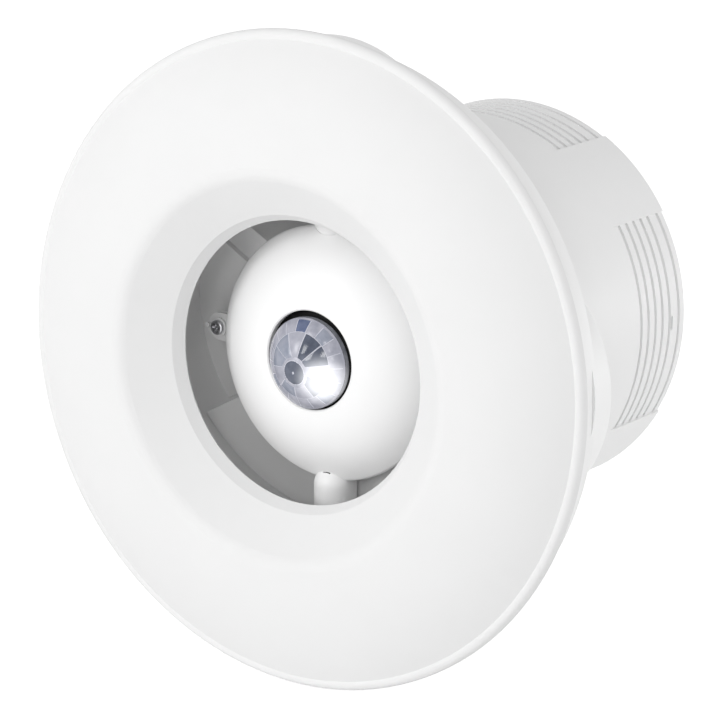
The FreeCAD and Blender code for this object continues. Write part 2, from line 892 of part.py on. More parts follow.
def make_lens():
    flange_y = lens_flange_y()
    side_y = flange_y - lens_side_height
    apex_y = side_y - lens_dome_height
    dome = (lens_radius ** 2 + lens_dome_height ** 2) / (2 * lens_dome_height)
    centre_y = apex_y + dome
    half = lens_radius / 2
    inner_radius = lens_radius - lens_wall
    inner_dome = dome - lens_wall
    inner_side_y = centre_y - math.sqrt(inner_dome ** 2 - inner_radius ** 2)
    flange_back = flange_y + lens_flange
    outer_middle = (half, centre_y - math.sqrt(dome ** 2 - half ** 2))
    inner_middle = (half, centre_y - math.sqrt(inner_dome ** 2 - half ** 2))
    edges = [
        line((0, apex_y + lens_wall), (0, apex_y)),
        arc((0, apex_y), outer_middle, (lens_radius, side_y)),
        line((lens_radius, side_y), (lens_radius, flange_y)),
        line((lens_radius, flange_y), (lens_flange_radius, flange_y)),
        line((lens_flange_radius, flange_y), (lens_flange_radius, flange_back)),
        line((lens_flange_radius, flange_back), (inner_radius, flange_back)),
        line((inner_radius, flange_back), (inner_radius, inner_side_y)),
        arc((inner_radius, inner_side_y), inner_middle, (0, apex_y + lens_wall)),
    ]
    lens = spun(edges)
    lens.translate(Vector(0, 0, -lens_drop))
    return lens


def make_lens_holder():
    front = lens_flange_y() + lens_flange
    holder = ring(lens_flange_radius, lens_flange_radius - holder_wall, front, sensor_board_front_y)
    holder.translate(Vector(0, 0, -lens_drop))
    return holder


# Impeller and its shaft

def blade_section(step):
    """One thin upright quadrilateral of the blade at a turn about the axis."""
    share = step / (blade_sections - 1.0)
    root_y = blade_front + blade_root_depth * share
    tip_y = blade_front + blade_tip_depth * share
    thickness = blade_front_thickness + (blade_back_thickness - blade_front_thickness) * share
    inner = hub_radius - hub_wall + fit_gap
    outer = duct_bore + beyond
    slope = (tip_y - root_y) / (blade_tip_radius - hub_radius)
    inner_y = root_y + slope * (inner - hub_radius)
    outer_y = tip_y + slope * (outer - blade_tip_radius)
    clock = blade_first_angle - blade_wrap_angle * share
    corners = [
        clock_point(inner, inner_y, clock),
        clock_point(outer, outer_y, clock),
        clock_point(outer, outer_y + thickness, clock),
        clock_point(inner, inner_y + thickness, clock),
    ]
    return Part.makePolygon(corners + [corners[0]])


def make_impeller():
    sections = []
    for step in range(blade_sections):
        sections.append(blade_section(step))
    blade = Part.makeLoft(sections, True, False)
    hub_inner = hub_radius - hub_wall
    limits = ring(blade_tip_radius, hub_inner, blade_front - beyond, hub_back_y + beyond)
    blade = blade.common(limits)
    hub_front_y = blade_front
    shell = disc(hub_radius, hub_front_y, hub_back_y)
    front_edge = [edge for edge in shell.Edges if abs(edge.CenterOfMass.y - hub_front_y) < 0.001]
    shell = shell.makeFillet(hub_edge_round, front_edge)
    shell = shell.cut(disc(hub_inner, hub_front_y + hub_wall, hub_back_y + beyond))
    boss = disc(hub_boss, hub_front_y, hub_back_y - hub_boss_inset)
    parts = [shell, boss]
    rib_half = hub_rib_width / 2
    rib_front = hub_front_y + weld
    rib_back = hub_front_y + hub_rib_depth
    rib = block(-rib_half, rib_half, rib_front, rib_back, hub_boss - weld, hub_inner + weld)
    parts += repeated(rib, blade_count, 0.0)
    parts += repeated(blade, blade_count, 0.0)
    whole = joined(parts)
    bore = disc(shaft_radius + running_clearance / 2, hub_front_y - beyond, hub_back_y + beyond)
    recess_back = hub_front_y + 2 * clip_ring_thickness
    recess = disc(clip_ring_radius + screw_clearance, hub_front_y - beyond, recess_back)
    return whole.cut(bore).cut(recess)


def make_impeller_clip():
    front = blade_front + clip_ring_thickness
    return ring(clip_ring_radius, shaft_radius + running_clearance / 2, front, front + clip_ring_thickness)


def make_shaft():
    return disc(shaft_radius, blade_front + clip_ring_thickness / 2, motor_back - motor_wall - air_gap)


def make_rotor_core():
    rotor_radius = stator_bore - air_gap
    front = stator_front - rotor_over
    back = stator_front + stator_thickness + rotor_over
    core = disc(rotor_radius, front, back)
    end_ring = disc(rotor_radius - rotor_end_ring, front - rotor_end_ring, back + rotor_end_ring)
    bore = disc(shaft_radius + running_clearance / 2, motor_front, motor_back)
    return joined([core, end_ring]).cut(bore)


# Motor

def motor_screw_tools(radius, front, back):
    return repeated(post(radius, front, back, 0, motor_screw_circle), 4, motor_screw_first_angle)


def bearing_front_y():
    return motor_front + motor_wall


def bearing_back_y():
    return motor_back - motor_wall - bearing_width


def make_bearing(front):
    body = ring(bearing_radius, shaft_radius + running_clearance, front, front + bearing_width)
    groove_outer = bearing_radius - bearing_race
    groove_inner = shaft_radius + bearing_race
    for face in (front, front + bearing_width):
        body = body.cut(ring(groove_outer, groove_inner, face - bearing_groove, face + bearing_groove))
    return body


def bearing_seat(front, back):
    outer = bearing_radius + bearing_seat_wall
    return ring(outer, bearing_radius + running_clearance / 2, front, back)


def make_motor_cover():
    shell = disc(motor_radius, motor_front, motor_split)
    front_edge = [edge for edge in shell.Edges if abs(edge.CenterOfMass.y - motor_front) < 0.001]
    shell = shell.makeFillet(motor_edge_round, front_edge)
    inner = motor_radius - motor_wall
    shell = shell.cut(disc(inner, motor_front + motor_wall, motor_split + beyond))
    posts = motor_screw_tools(motor_post_radius, motor_front + motor_wall / 2, stator_front)
    seat = bearing_seat(motor_front + motor_wall / 2, bearing_front_y() + bearing_width)
    whole = joined([shell, seat] + posts)
    whole = whole.cut(disc(shaft_radius + shaft_hole_gap, motor_front - beyond, bearing_front_y()))
    pilot_front = stator_front - motor_screw_depth - weld
    pilots = motor_screw_tools(small_shank + running_clearance, pilot_front, stator_front + beyond)
    return cut_all(whole, pilots)


def make_motor_bracket():
    shell = disc(motor_radius, motor_split + motor_joint_gap, motor_back)
    back_edge = [edge for edge in shell.Edges if abs(edge.CenterOfMass.y - motor_back) < 0.001]
    shell = shell.makeFillet(motor_edge_round, back_edge)
    inner = motor_radius - motor_wall
    shell = shell.cut(disc(inner, motor_split - beyond, motor_back - motor_wall))
    stator_back = stator_front + stator_thickness
    posts = motor_screw_tools(motor_post_radius, stator_back, motor_back - motor_wall / 2)
    seat = bearing_seat(bearing_back_y(), motor_back - motor_wall / 2)
    ring_outer = duct_bore - screw_clearance
    ring_back = bracket_ring_front + bracket_ring_length
    outer_ring = ring(ring_outer, ring_outer - bracket_ring_wall, bracket_ring_front, ring_back)
    strut = block(-strut_thickness / 2, strut_thickness / 2, bracket_ring_front, ring_back,
                  motor_radius - motor_wall / 2, ring_outer - bracket_ring_wall / 2)
    struts = repeated(strut, strut_count, strut_first_angle)
    whole = joined([shell, seat, outer_ring] + posts + struts)
    holes = motor_screw_tools(small_shank + screw_clearance, stator_back - beyond, motor_back + beyond)
    return cut_all(whole, holes)


def make_stator_core():
    back = stator_front + stator_thickness
    yoke = ring(stator_radius, stator_radius - stator_yoke, stator_front, back)
    shoe_outer = stator_bore + pole_shoe
    pole = block(-pole_width / 2, pole_width / 2, stator_front, back, stator_bore + pole_shoe / 2,
                 stator_radius - stator_yoke / 2)
    shoe = duct_sector(shoe_outer, stator_bore, stator_front, back, pole_shoe_angle)
    poles = repeated(joined([pole, shoe]), pole_count, 0.0)
    whole = joined([yoke] + poles)
    holes = motor_screw_tools(small_shank + fit_gap, stator_front - beyond, back + beyond)
    return cut_all(whole, holes)


def make_coil_bobbins():
    back = stator_front + stator_thickness
    gap = running_clearance
    half = pole_width / 2 + gap
    side = half + bobbin_wall
    outer_front = stator_front - gap - bobbin_wall
    outer_back = back + gap + bobbin_wall
    bottom = stator_bore + pole_shoe + fit_gap
    outer = block(-side, side, outer_front, outer_back, bottom, coil_outer + 2 * fit_gap)
    inner = block(-half, half, stator_front - gap, back + gap, 0, stator_radius)
    return Part.makeCompound(repeated(outer.cut(inner), pole_count, 0.0))


def make_stator_windings():
    back = stator_front + stator_thickness
    half = pole_width / 2 + bobbin_wall + 2 * running_clearance
    end_gap = bobbin_wall + 2 * running_clearance
    outer_front = stator_front - coil_end
    outer_back = back + coil_end
    outer = block(-coil_half_width, coil_half_width, outer_front, outer_back, coil_inner, coil_outer)
    corners = [edge for edge in outer.Edges if edge.BoundBox.ZLength > coil_corner]
    outer = outer.makeFillet(coil_corner, corners)
    inner = block(-half, half, stator_front - end_gap, back + end_gap, 0, stator_radius)
    return Part.makeCompound(repeated(outer.cut(inner), pole_count, 0.0))


def make_motor_screws():
    head_back = motor_back + small_head_height
    slot_front = head_back - screw_slot_depth
    half = cross_width / 2
    head = disc(small_head, motor_back, head_back)
    slot = block(-half, half, slot_front, head_back + beyond, -small_head, small_head)
    shank = disc(small_shank, stator_front - motor_screw_depth, slot_front)
    one = joined([head.cut(slot), shank])
    one.translate(Vector(0, 0, motor_screw_circle))
    return Part.makeCompound(repeated(one, 4, motor_screw_first_angle))


# Timer board in the tray

def on_board(left, right, height, inner, outer):
    """A box that stands on the timer board, from one side to the other and from one circle to the next."""
    box = block(left, right, board_front_y - height, board_front_y, inner, outer)
    return clocked(box, board_angle)


def upright_edges(shape, height):
    return [edge for edge in shape.Edges if edge.BoundBox.YLength > height / 2]


def make_timer_board():
    half = board_half_length
    board = block(-half, half, board_front_y, board_back_y, board_inner, board_outer)
    board = board.makeFillet(board_corner, upright_edges(board, board_thickness))
    for side, out in board_post_places():
        board = board.cut(post(small_shank + screw_clearance, tray_front_y, 0, side, out))
    return clocked(board, board_angle)


def make_board_screws():
    parts = []
    head_front = board_front_y - small_head_height
    shank_end = board_back_y + board_screw_depth
    for side, out in board_screw_places():
        one = screw(head_front, small_head, small_head_height, small_shank, shank_end, side, out)
        parts.append(clocked(one, board_angle))
    return Part.makeCompound(parts)


def make_relay():
    right = parts_left_side + relay_length
    body = on_board(parts_left_side, right, relay_height, relay_inner, relay_inner + relay_width)
    return body.makeFillet(part_corner, upright_edges(body, relay_height))


def make_film_capacitor():
    inner = board_inner + fit_gap
    right = parts_left_side + capacitor_length
    body = on_board(parts_left_side, right, capacitor_height, inner, inner + capacitor_width)
    return body.makeFillet(part_corner, upright_edges(body, capacitor_height))


def make_board_connector():
    right = connector_left + connector_length
    outer = connector_inner + connector_width
    body = on_board(connector_left, right, connector_height, connector_inner, outer)
    wall = connector_wall
    pocket_left = connector_left + wall
    pocket_inner = connector_inner + wall
    pocket = block(pocket_left, right - wall, -tray_radius, board_front_y - wall, pocket_inner, outer - wall)
    return body.cut(clocked(pocket, board_angle))


def trimmer_sides():
    return [delay_trimmer_side, light_trimmer_side]


def make_trimmer_bodies():
    parts = []
    front = board_front_y - trimmer_body_height
    for side in trimmer_sides():
        body = post(trimmer_body_radius, front, board_front_y, side, trimmer_circle)
        hole_back = board_front_y - trimmer_body_floor
        hole = post(trimmer_spindle + running_clearance, front - beyond, hole_back, side, trimmer_circle)
        parts.append(clocked(body.cut(hole), board_angle))
    return Part.makeCompound(parts)


def make_trimmer(side):
    body_front = board_front_y - trimmer_body_height
    back = body_front - trimmer_knob_gap
    front = back - trimmer_knob_height
    knob = post(trimmer_knob_radius, front, back, side, trimmer_circle)
    spindle = post(trimmer_spindle, front, body_front + trimmer_spindle_depth, side, trimmer_circle)
    half = trimmer_slot_width / 2
    reach = trimmer_slot_length / 2
    slot_back = front + trimmer_slot_depth
    top = trimmer_circle + reach
    slot = block(side - half, side + half, front - beyond, slot_back, trimmer_circle - reach, top)
    return clocked(joined([knob, spindle]).cut(slot), board_angle)


# Terminal block, cable clamp and grommet

def block_way_sides():
    return [(index - (block_ways - 1) / 2.0) * block_pitch for index in range(block_ways)]


def make_terminal_block():
    half = block_half_length
    body = block(-half, half, block_front_y, shelf_y, block_inner, block_outer)
    middle = (block_inner + block_outer) / 2
    well_back = block_front_y + well_depth
    passage = block_outer - block_inner + 2 * beyond
    for side in block_way_sides():
        well = post(well_radius, block_front_y - beyond, well_back, side, middle)
        start = Vector(side, well_back + wire_hole, block_inner - beyond)
        entry = Part.makeCylinder(wire_hole, passage, start, Vector(0, 0, 1))
        body = body.cut(well).cut(entry)
    groove_back = block_front_y + block_groove_depth
    groove_half = block_groove_width / 2
    for side in block_way_sides()[:-1]:
        left = side + block_pitch / 2 - groove_half
        right = side + block_pitch / 2 + groove_half
        groove = block(left, right, block_front_y - beyond, groove_back, 0, block_outer + beyond)
        body = body.cut(groove)
    return clocked(body, block_angle)


def make_terminal_screws():
    middle = (block_inner + block_outer) / 2
    front = block_front_y + terminal_screw_inset
    radius = well_radius - terminal_screw_gap
    half = terminal_slot_width / 2
    slot_back = front + terminal_slot_depth
    parts = []
    for side in block_way_sides():
        head = post(radius, front, block_front_y + well_depth, side, middle)
        slot = block(side - half, side + half, front - beyond, slot_back, middle - radius, middle + radius)
        parts.append(clocked(head.cut(slot), block_angle))
    return Part.makeCompound(parts)


def make_cable_clamp():
    front = -clamp_stand - clamp_thickness
    bar = block(-clamp_half_width, clamp_half_width, front, -clamp_stand, clamp_inner, clamp_outer)
    middle = (clamp_inner + clamp_outer) / 2
    start = Vector(-clamp_half_width - beyond, -clamp_stand + clamp_cable_back, middle)
    width = 2 * (clamp_half_width + beyond)
    bar = bar.cut(Part.makeCylinder(clamp_cable, width, start, Vector(1, 0, 0)))
    for out in clamp_screw_places():
        bar = bar.cut(post(small_shank + screw_clearance, front - beyond, 0, 0, out))
    return clocked(bar, clamp_angle)


def make_clamp_screws():
    head_front = -clamp_stand - clamp_thickness - small_head_height
    shank_end = -clamp_stand + clamp_screw_depth
    parts = []
    for out in clamp_screw_places():
        one = screw(head_front, small_head, small_head_height, small_shank, shank_end, 0, out)
        parts.append(clocked(one, clamp_angle))
    return Part.makeCompound(parts)


def make_cable_grommet():
    neck = disc(grommet_neck, floor_y, -grommet_recess)
    front_flange = disc(grommet_flange, floor_y - grommet_flange_thickness, floor_y)
    back_flange = disc(grommet_flange, -grommet_recess, -grommet_recess + grommet_flange_thickness)
    bore = disc(grommet_bore, shelf_y, beyond)
    whole = joined([neck, front_flange, back_flange]).cut(bore)
    whole.translate(Vector(0, 0, grommet_circle))
    return clocked(whole, grommet_angle)


# Wires inside the fan

def wire_path(points, bend):
    """Straight runs joined by tangent arcs, with the same bend radius at every turn."""
    edges = []
    start = points[0]
    for before, corner, after in zip(points[:-2], points[1:-1], points[2:]):
        back = (before - corner).normalize()
        ahead = (after - corner).normalize()
        half_turn = (math.pi - back.getAngle(ahead)) / 2
        cut = bend * math.tan(half_turn)
        first = corner + back * cut
        last = corner + ahead * cut
        inward = (back + ahead).normalize()
        middle = corner + inward * (bend / math.cos(half_turn) - bend)
        edges.append(Part.LineSegment(start, first).toShape())
        edges.append(Part.Arc(first, middle, last).toShape())
        start = last
    edges.append(Part.LineSegment(start, points[-1]).toShape())
    return Part.Wire(edges)


def wire_solid(points, radius, bend):
    path = wire_path(points, bend)
    direction = points[1] - points[0]
    circle = Part.Wire(Part.makeCircle(radius, points[0], direction))
    return path.makePipeShell([circle], True, False)


def make_motor_leads():
    """Two wires from the motor along its strut, out through the duct and forward to the timer board."""
    exit_y = motor_wire_exit_y()
    channel = motor_wire_channel_radius()
    board_y = board_back_y + running_clearance
    solids = []
    for clock in motor_wire_clocks():
        points = [
            clock_point(motor_radius + running_clearance, exit_y, clock),
            clock_point(channel, exit_y, clock),
            clock_point(channel, motor_wire_tray_y, clock),
            clock_point(motor_wire_end_circle, motor_wire_tray_y, clock),
            clock_point(motor_wire_end_circle, board_y, clock),
        ]
        solids.append(wire_solid(points, wire_radius, motor_wire_bend))
    return Part.makeCompound(solids)


def make_sensor_lead():
    """The lead from the sensor board, down inside the lower arm and across to the timer board."""
    lead_y = sensor_lead_y()
    end_circle = sensor_lead_end_circle
    end_side = sensor_lead_end_side
    points = [
        clock_point(sensor_board_radius + running_clearance, lead_y, lower_arm_angle),
        clock_point(sensor_lead_turn_circle, lead_y, lower_arm_angle),
        clock_point(end_circle, lead_y, board_angle, end_side),
        clock_point(end_circle, board_back_y + running_clearance, board_angle, end_side),
    ]
    return wire_solid(points, sensor_lead_radius, sensor_lead_bend)


def make_supply_leads():
    """Two wires from the terminal block to the edge of the timer board, one in front of the other."""
    middle_y = (board_front_y + board_back_y) / 2
    block_side = block_half_length + wire_gap
    board_side = -board_half_length - wire_gap
    solids = []
    for shift in (-wire_radius - wire_gap / 2, wire_radius + wire_gap / 2):
        y = middle_y + shift
        points = [
            clock_point(supply_wire_circle, y, block_angle, block_side),
            clock_point(supply_wire_middle, y, lower_arm_angle),
            clock_point(supply_wire_circle, y, board_angle, board_side),
        ]
        solids.append(wire_solid(points, wire_radius, supply_wire_bend))
    return Part.makeCompound(solids)


def make_all():
    os.makedirs("parts", exist_ok=True)
    save("front_panel", make_front_panel())
    save("panel_clips", make_panel_clips())
    save("fan_housing", make_fan_housing())
    save("duct_spigot", make_duct_spigot())
    save("sensor_cap", make_sensor_cap())
    save("sensor_bridge", make_sensor_bridge())
    save("sensor_tray", make_sensor_tray())
    save("tray_screws", make_tray_screws())
    save("bridge_screws", make_bridge_screws())
    save("sensor_board", make_sensor_board())
    save("pir_sensor", make_pir_sensor())
    save("status_led", make_status_led())
    save("sensor_lens", make_lens())
    save("lens_holder", make_lens_holder())
    save("impeller", make_impeller())
    save("impeller_clip", make_impeller_clip())
    save("motor_shaft", make_shaft())
    save("rotor_core", make_rotor_core())
    save("bearing_front", make_bearing(bearing_front_y()))
    save("bearing_back", make_bearing(bearing_back_y()))
    save("motor_cover", make_motor_cover())
    save("motor_bracket", make_motor_bracket())
    save("stator_core", make_stator_core())
    save("coil_bobbins", make_coil_bobbins())
    save("stator_windings", make_stator_windings())
    save("motor_screws", make_motor_screws())
    save("timer_board", make_timer_board())
    save("board_screws", make_board_screws())
    save("relay", make_relay())
    save("film_capacitor", make_film_capacitor())
    save("board_connector", make_board_connector())
    save("trimmer_bodies", make_trimmer_bodies())
    save("delay_trimmer", make_trimmer(delay_trimmer_side))
    save("light_trimmer", make_trimmer(light_trimmer_side))
    save("terminal_block", make_terminal_block())
    save("terminal_screws", make_terminal_screws())
    save("cable_clamp", make_cable_clamp())
    save("clamp_screws", make_clamp_screws())
    save("cable_grommet", make_cable_grommet())
    save("motor_leads", make_motor_leads())
    save("sensor_lead", make_sensor_lead())
    save("supply_leads", make_supply_leads())


make_all()
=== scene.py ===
import bpy
import bmesh
import math
from mathutils import Matrix, Vector


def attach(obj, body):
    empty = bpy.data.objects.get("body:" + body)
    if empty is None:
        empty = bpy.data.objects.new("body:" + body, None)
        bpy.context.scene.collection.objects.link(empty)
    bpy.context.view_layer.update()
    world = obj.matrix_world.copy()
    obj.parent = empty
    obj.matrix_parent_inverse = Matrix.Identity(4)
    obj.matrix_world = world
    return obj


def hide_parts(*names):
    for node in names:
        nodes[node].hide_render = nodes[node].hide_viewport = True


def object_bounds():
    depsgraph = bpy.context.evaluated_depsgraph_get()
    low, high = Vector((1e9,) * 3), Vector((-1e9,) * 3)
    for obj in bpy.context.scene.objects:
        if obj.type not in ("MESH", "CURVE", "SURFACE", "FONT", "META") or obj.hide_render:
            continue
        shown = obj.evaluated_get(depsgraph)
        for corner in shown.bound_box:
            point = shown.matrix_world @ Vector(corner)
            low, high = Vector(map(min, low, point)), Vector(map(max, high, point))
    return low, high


# Bathroom extractor fan. The fan's axis is Y, the room is on the minus Y side, Z is up.
# All sizes are in metres, and Y starts at the wall plane.

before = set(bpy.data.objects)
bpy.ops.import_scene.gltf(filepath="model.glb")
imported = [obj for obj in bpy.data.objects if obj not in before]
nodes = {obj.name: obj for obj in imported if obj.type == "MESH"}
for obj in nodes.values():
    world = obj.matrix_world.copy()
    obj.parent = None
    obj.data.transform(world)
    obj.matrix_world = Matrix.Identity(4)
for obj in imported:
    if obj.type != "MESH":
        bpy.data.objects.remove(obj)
cad_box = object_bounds()

# Camera, from the fit to the photograph
camera_place = Vector((0.49269, -0.69647, 0.21259))
camera_right = Vector((0.81952, 0.57305, 0.0))
camera_up = Vector((-0.14009, 0.20034, 0.96966))
camera_back = Vector((0.55566, -0.79466, 0.24446))
camera_lens = 185.0
camera_sensor = 36.0
camera_nearest = 0.01
camera_farthest = 50.0

# Floor and world
white = (1.0, 1.0, 1.0, 1.0)
floor_below = 0.0005
floor_size = 30.0
floor_darkest = (0.93, 0.93, 0.93)
floor_lightest = (0.97, 0.97, 0.97)
floor_roughness = 0.9
floor_glow = 0.55
world_light = 0.6
world_seen = 1.0

# Square lamps that point at the origin: name, place, side, power in watts
lamps = [
    ("key", (-0.7, -1.6, 0.5), 0.7, 12.5),
    ("front", (0.7, -1.4, 0.5), 0.3, 3.0),
    ("side", (1.5, 1.1, -0.1), 0.6, 18.0),
]


# Small helpers for materials

def new_material(name):
    material = bpy.data.materials.new(name)
    material.use_nodes = True
    tree = material.node_tree
    return material, tree, tree.nodes["Principled BSDF"]


def add(tree, kind, values=None, **settings):
    """A new node, with its settings and the values of its named sockets."""
    node = tree.nodes.new(kind)
    for key, value in settings.items():
        setattr(node, key, value)
    for socket, value in (values or {}).items():
        node.inputs[socket].default_value = value
    return node


def place_on_piece(tree):
    return add(tree, "ShaderNodeTexCoord").outputs["Object"]


def noise_at(tree, place, scale, detail):
    noise = add(tree, "ShaderNodeTexNoise", {"Scale": scale, "Detail": detail})
    tree.links.new(place, noise.inputs["Vector"])
    return noise.outputs["Fac"]


def vary_colour(tree, shader, amount, darkest, lightest):
    tint = add(tree, "ShaderNodeMix", {"A": (*darkest, 1.0), "B": (*lightest, 1.0)}, data_type="RGBA")
    tree.links.new(amount, tint.inputs["Factor"])
    tree.links.new(tint.outputs["Result"], shader.inputs["Base Color"])


def vary_roughness(tree, shader, amount, roughness, spread):
    gloss = add(tree, "ShaderNodeMapRange", {"To Min": roughness - spread, "To Max": roughness + spread})
    tree.links.new(amount, gloss.inputs["Value"])
    tree.links.new(gloss.outputs["Result"], shader.inputs["Roughness"])


def raise_relief(tree, shader, height, strength, distance):
    relief = add(tree, "ShaderNodeBump", {"Strength": strength, "Distance": distance})
    tree.links.new(height, relief.inputs["Height"])
    tree.links.new(relief.outputs["Normal"], shader.inputs["Normal"])


def background_rays(tree):
    """1 for camera, glossy and transmission rays, which see the background, and 0 for the rest."""
    path = add(tree, "ShaderNodeLightPath")
    rays = path.outputs["Is Camera Ray"]
    for kind in ("Is Glossy Ray", "Is Transmission Ray"):
        either = add(tree, "ShaderNodeMath", operation="MAXIMUM")
        tree.links.new(rays, either.inputs[0])
        tree.links.new(path.outputs[kind], either.inputs[1])
        rays = either.outputs[0]
    return rays


# Materials

def moulded_plastic(name, colour, roughness, grain=0.00012, bump=0.06, mottle=0.02, shine=0.35):
    """Moulded plastic: fine surface texture, faint cloudiness in colour and in gloss."""
    material, tree, shader = new_material(name)
    place = place_on_piece(tree)
    clouds = noise_at(tree, place, scale=45.0, detail=4.0)
    darkest = [channel * (1.0 - mottle) for channel in colour]
    lightest = [channel * (1.0 + mottle) for channel in colour]
    vary_colour(tree, shader, clouds, darkest, lightest)
    vary_roughness(tree, shader, clouds, roughness, spread=0.04)
    grain_spacing = grain * 6
    grains = noise_at(tree, place, scale=1.0 / grain_spacing, detail=3.0)
    raise_relief(tree, shader, grains, strength=bump, distance=grain)
    shader.inputs["Specular IOR Level"].default_value = shine
    return material


def metal(name, colour, roughness, stretch, bump=0.05):
    """Drawn or turned metal: streaks of tone and gloss, stretched where stretch is not 1."""
    material, tree, shader = new_material(name)
    stretched = add(tree, "ShaderNodeMapping", {"Scale": stretch})
    tree.links.new(place_on_piece(tree), stretched.inputs["Vector"])
    streaks = noise_at(tree, stretched.outputs["Vector"], scale=900.0, detail=5.0)
    streak_tone = 0.82
    darkest = [channel * streak_tone for channel in colour]
    vary_colour(tree, shader, streaks, darkest, colour)
    vary_roughness(tree, shader, streaks, roughness, spread=0.08)
    raise_relief(tree, shader, streaks, strength=bump, distance=0.00005)
    shader.inputs["Metallic"].default_value = 1.0
    return material


def banded_metal(name, darkest, colour, bands_scale, direction, roughness):
    """Fine parallel bands, for wound wire and for stacked sheets."""
    material, tree, shader = new_material(name)
    looks = {"Scale": bands_scale, "Distortion": 0.6, "Detail": 1.0}
    bands = add(tree, "ShaderNodeTexWave", looks, bands_direction=direction)
    tree.links.new(place_on_piece(tree), bands.inputs["Vector"])
    vary_colour(tree, shader, bands.outputs["Fac"], darkest, colour)
    raise_relief(tree, shader, bands.outputs["Fac"], strength=0.7, distance=0.0001)
    shader.inputs["Roughness"].default_value = roughness
    shader.inputs["Metallic"].default_value = 1.0
    return material


def board_material():
    """Green solder mask over a faint pattern of tracks."""
    material, tree, shader = new_material("circuit_board")
    turned = add(tree, "ShaderNodeMapping", {"Rotation": (math.radians(90), 0.0, 0.0)})
    tree.links.new(place_on_piece(tree), turned.inputs["Vector"])
    looks = {
        "Scale": 160.0,
        "Mortar Size": 0.12,
        "Color1": (0.02, 0.16, 0.06, 1.0),
        "Color2": (0.03, 0.2, 0.08, 1.0),
        "Mortar": (0.05, 0.3, 0.13, 1.0),
    }
    tracks = add(tree, "ShaderNodeTexBrick", looks)
    tree.links.new(turned.outputs["Vector"], tracks.inputs["Vector"])
    tree.links.new(tracks.outputs["Color"], shader.inputs["Base Color"])
    raise_relief(tree, shader, tracks.outputs["Fac"], strength=0.3, distance=0.00004)
    shader.inputs["Roughness"].default_value = 0.3
    return material


def lens_plastic(name, darkest, lightest, roughness, see_through):
    """Milky plastic of the lens: cloudy patches, very fine ridges, and a painted glow, white emission
    fading out from a point near the status lamp behind it.
    """
    material, tree, shader = new_material(name)
    place = place_on_piece(tree)
    clouds = noise_at(tree, place, scale=380.0, detail=3.0)
    spread = add(tree, "ShaderNodeMapRange", {"From Min": 0.3, "From Max": 0.7})
    tree.links.new(clouds, spread.inputs["Value"])
    vary_colour(tree, shader, spread.outputs["Result"], darkest, lightest)
    ridges = add(tree, "ShaderNodeTexWave", {"Scale": 700.0}, wave_type="RINGS", rings_direction="Y")
    tree.links.new(place, ridges.inputs["Vector"])
    raise_relief(tree, shader, ridges.outputs["Fac"], strength=0.12, distance=0.00003)
    # Painted glow: emission strength that fades with distance from a fixed point, not light from a lamp
    away = add(tree, "ShaderNodeVectorMath", {1: painted_glow_centre}, operation="DISTANCE")
    tree.links.new(place, away.inputs[0])
    fade = {"From Max": painted_glow_reach, "To Min": painted_glow_strength, "To Max": 0.0}
    painted_glow = add(tree, "ShaderNodeMapRange", fade, interpolation_type="SMOOTHERSTEP")
    tree.links.new(away.outputs["Value"], painted_glow.inputs["Value"])
    tree.links.new(painted_glow.outputs["Result"], shader.inputs["Emission Strength"])
    shader.inputs["Emission Color"].default_value = white
    shader.inputs["Roughness"].default_value = roughness
    shader.inputs["Transmission Weight"].default_value = see_through
    shader.inputs["IOR"].default_value = 1.5
    return material


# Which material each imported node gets

def give(material, *node_names):
    for node_name in node_names:
        data = nodes[node_name].data
        data.materials.clear()
        data.materials.append(material)


def dress_plastics():
    give(moulded_plastic("panel_white", (0.8, 0.8, 0.8), 0.55, shine=0.12), "front_panel")
    give(moulded_plastic("cap_white", (0.92, 0.92, 0.92), 0.42), "sensor_cap")
    inner_white = moulded_plastic("housing_white", (0.88, 0.88, 0.88), 0.38)
    give(inner_white, "fan_housing", "sensor_bridge", "motor_bracket")
    give(moulded_plastic("spigot_white", (0.85, 0.85, 0.85), 0.38), "duct_spigot")
    give(moulded_plastic("tray_light_grey", (0.74, 0.74, 0.74), 0.45), "sensor_tray")
    give(moulded_plastic("impeller_grey", (0.88, 0.88, 0.88), 0.2, bump=0.03, shine=0.6), "impeller")
    give(moulded_plastic("motor_grey", (0.45, 0.45, 0.46), 0.5, grain=0.0002, bump=0.15), "motor_cover")
    nylon = moulded_plastic("natural_nylon", (0.82, 0.8, 0.75), 0.4, mottle=0.04)
    give(nylon, "coil_bobbins", "board_connector", "terminal_block", "cable_clamp")
    give(nylon, "delay_trimmer", "light_trimmer")
    give(moulded_plastic("matt_black", (0.02, 0.02, 0.021), 0.5, mottle=0.2), "lens_holder", "relay")
    rubber = moulded_plastic(
        "black_rubber", (0.025, 0.025, 0.025), 0.75, grain=0.0003, bump=0.2, mottle=0.2)
    give(rubber, "cable_grommet")
    give(moulded_plastic("capacitor_yellow", (0.72, 0.5, 0.05), 0.3, mottle=0.05), "film_capacitor")
    give(moulded_plastic("trimmer_blue", (0.04, 0.14, 0.5), 0.3, mottle=0.05), "trimmer_bodies")
    give(moulded_plastic("red_diffuser", (0.6, 0.03, 0.02), 0.2, mottle=0.05), "status_led")
    give(moulded_plastic("wire_blue", (0.05, 0.14, 0.5), 0.35, mottle=0.06), "motor_leads")
    give(moulded_plastic("wire_black", (0.03, 0.03, 0.03), 0.35, mottle=0.15), "sensor_lead")
    give(moulded_plastic("wire_brown", (0.22, 0.1, 0.045), 0.35, mottle=0.06), "supply_leads")


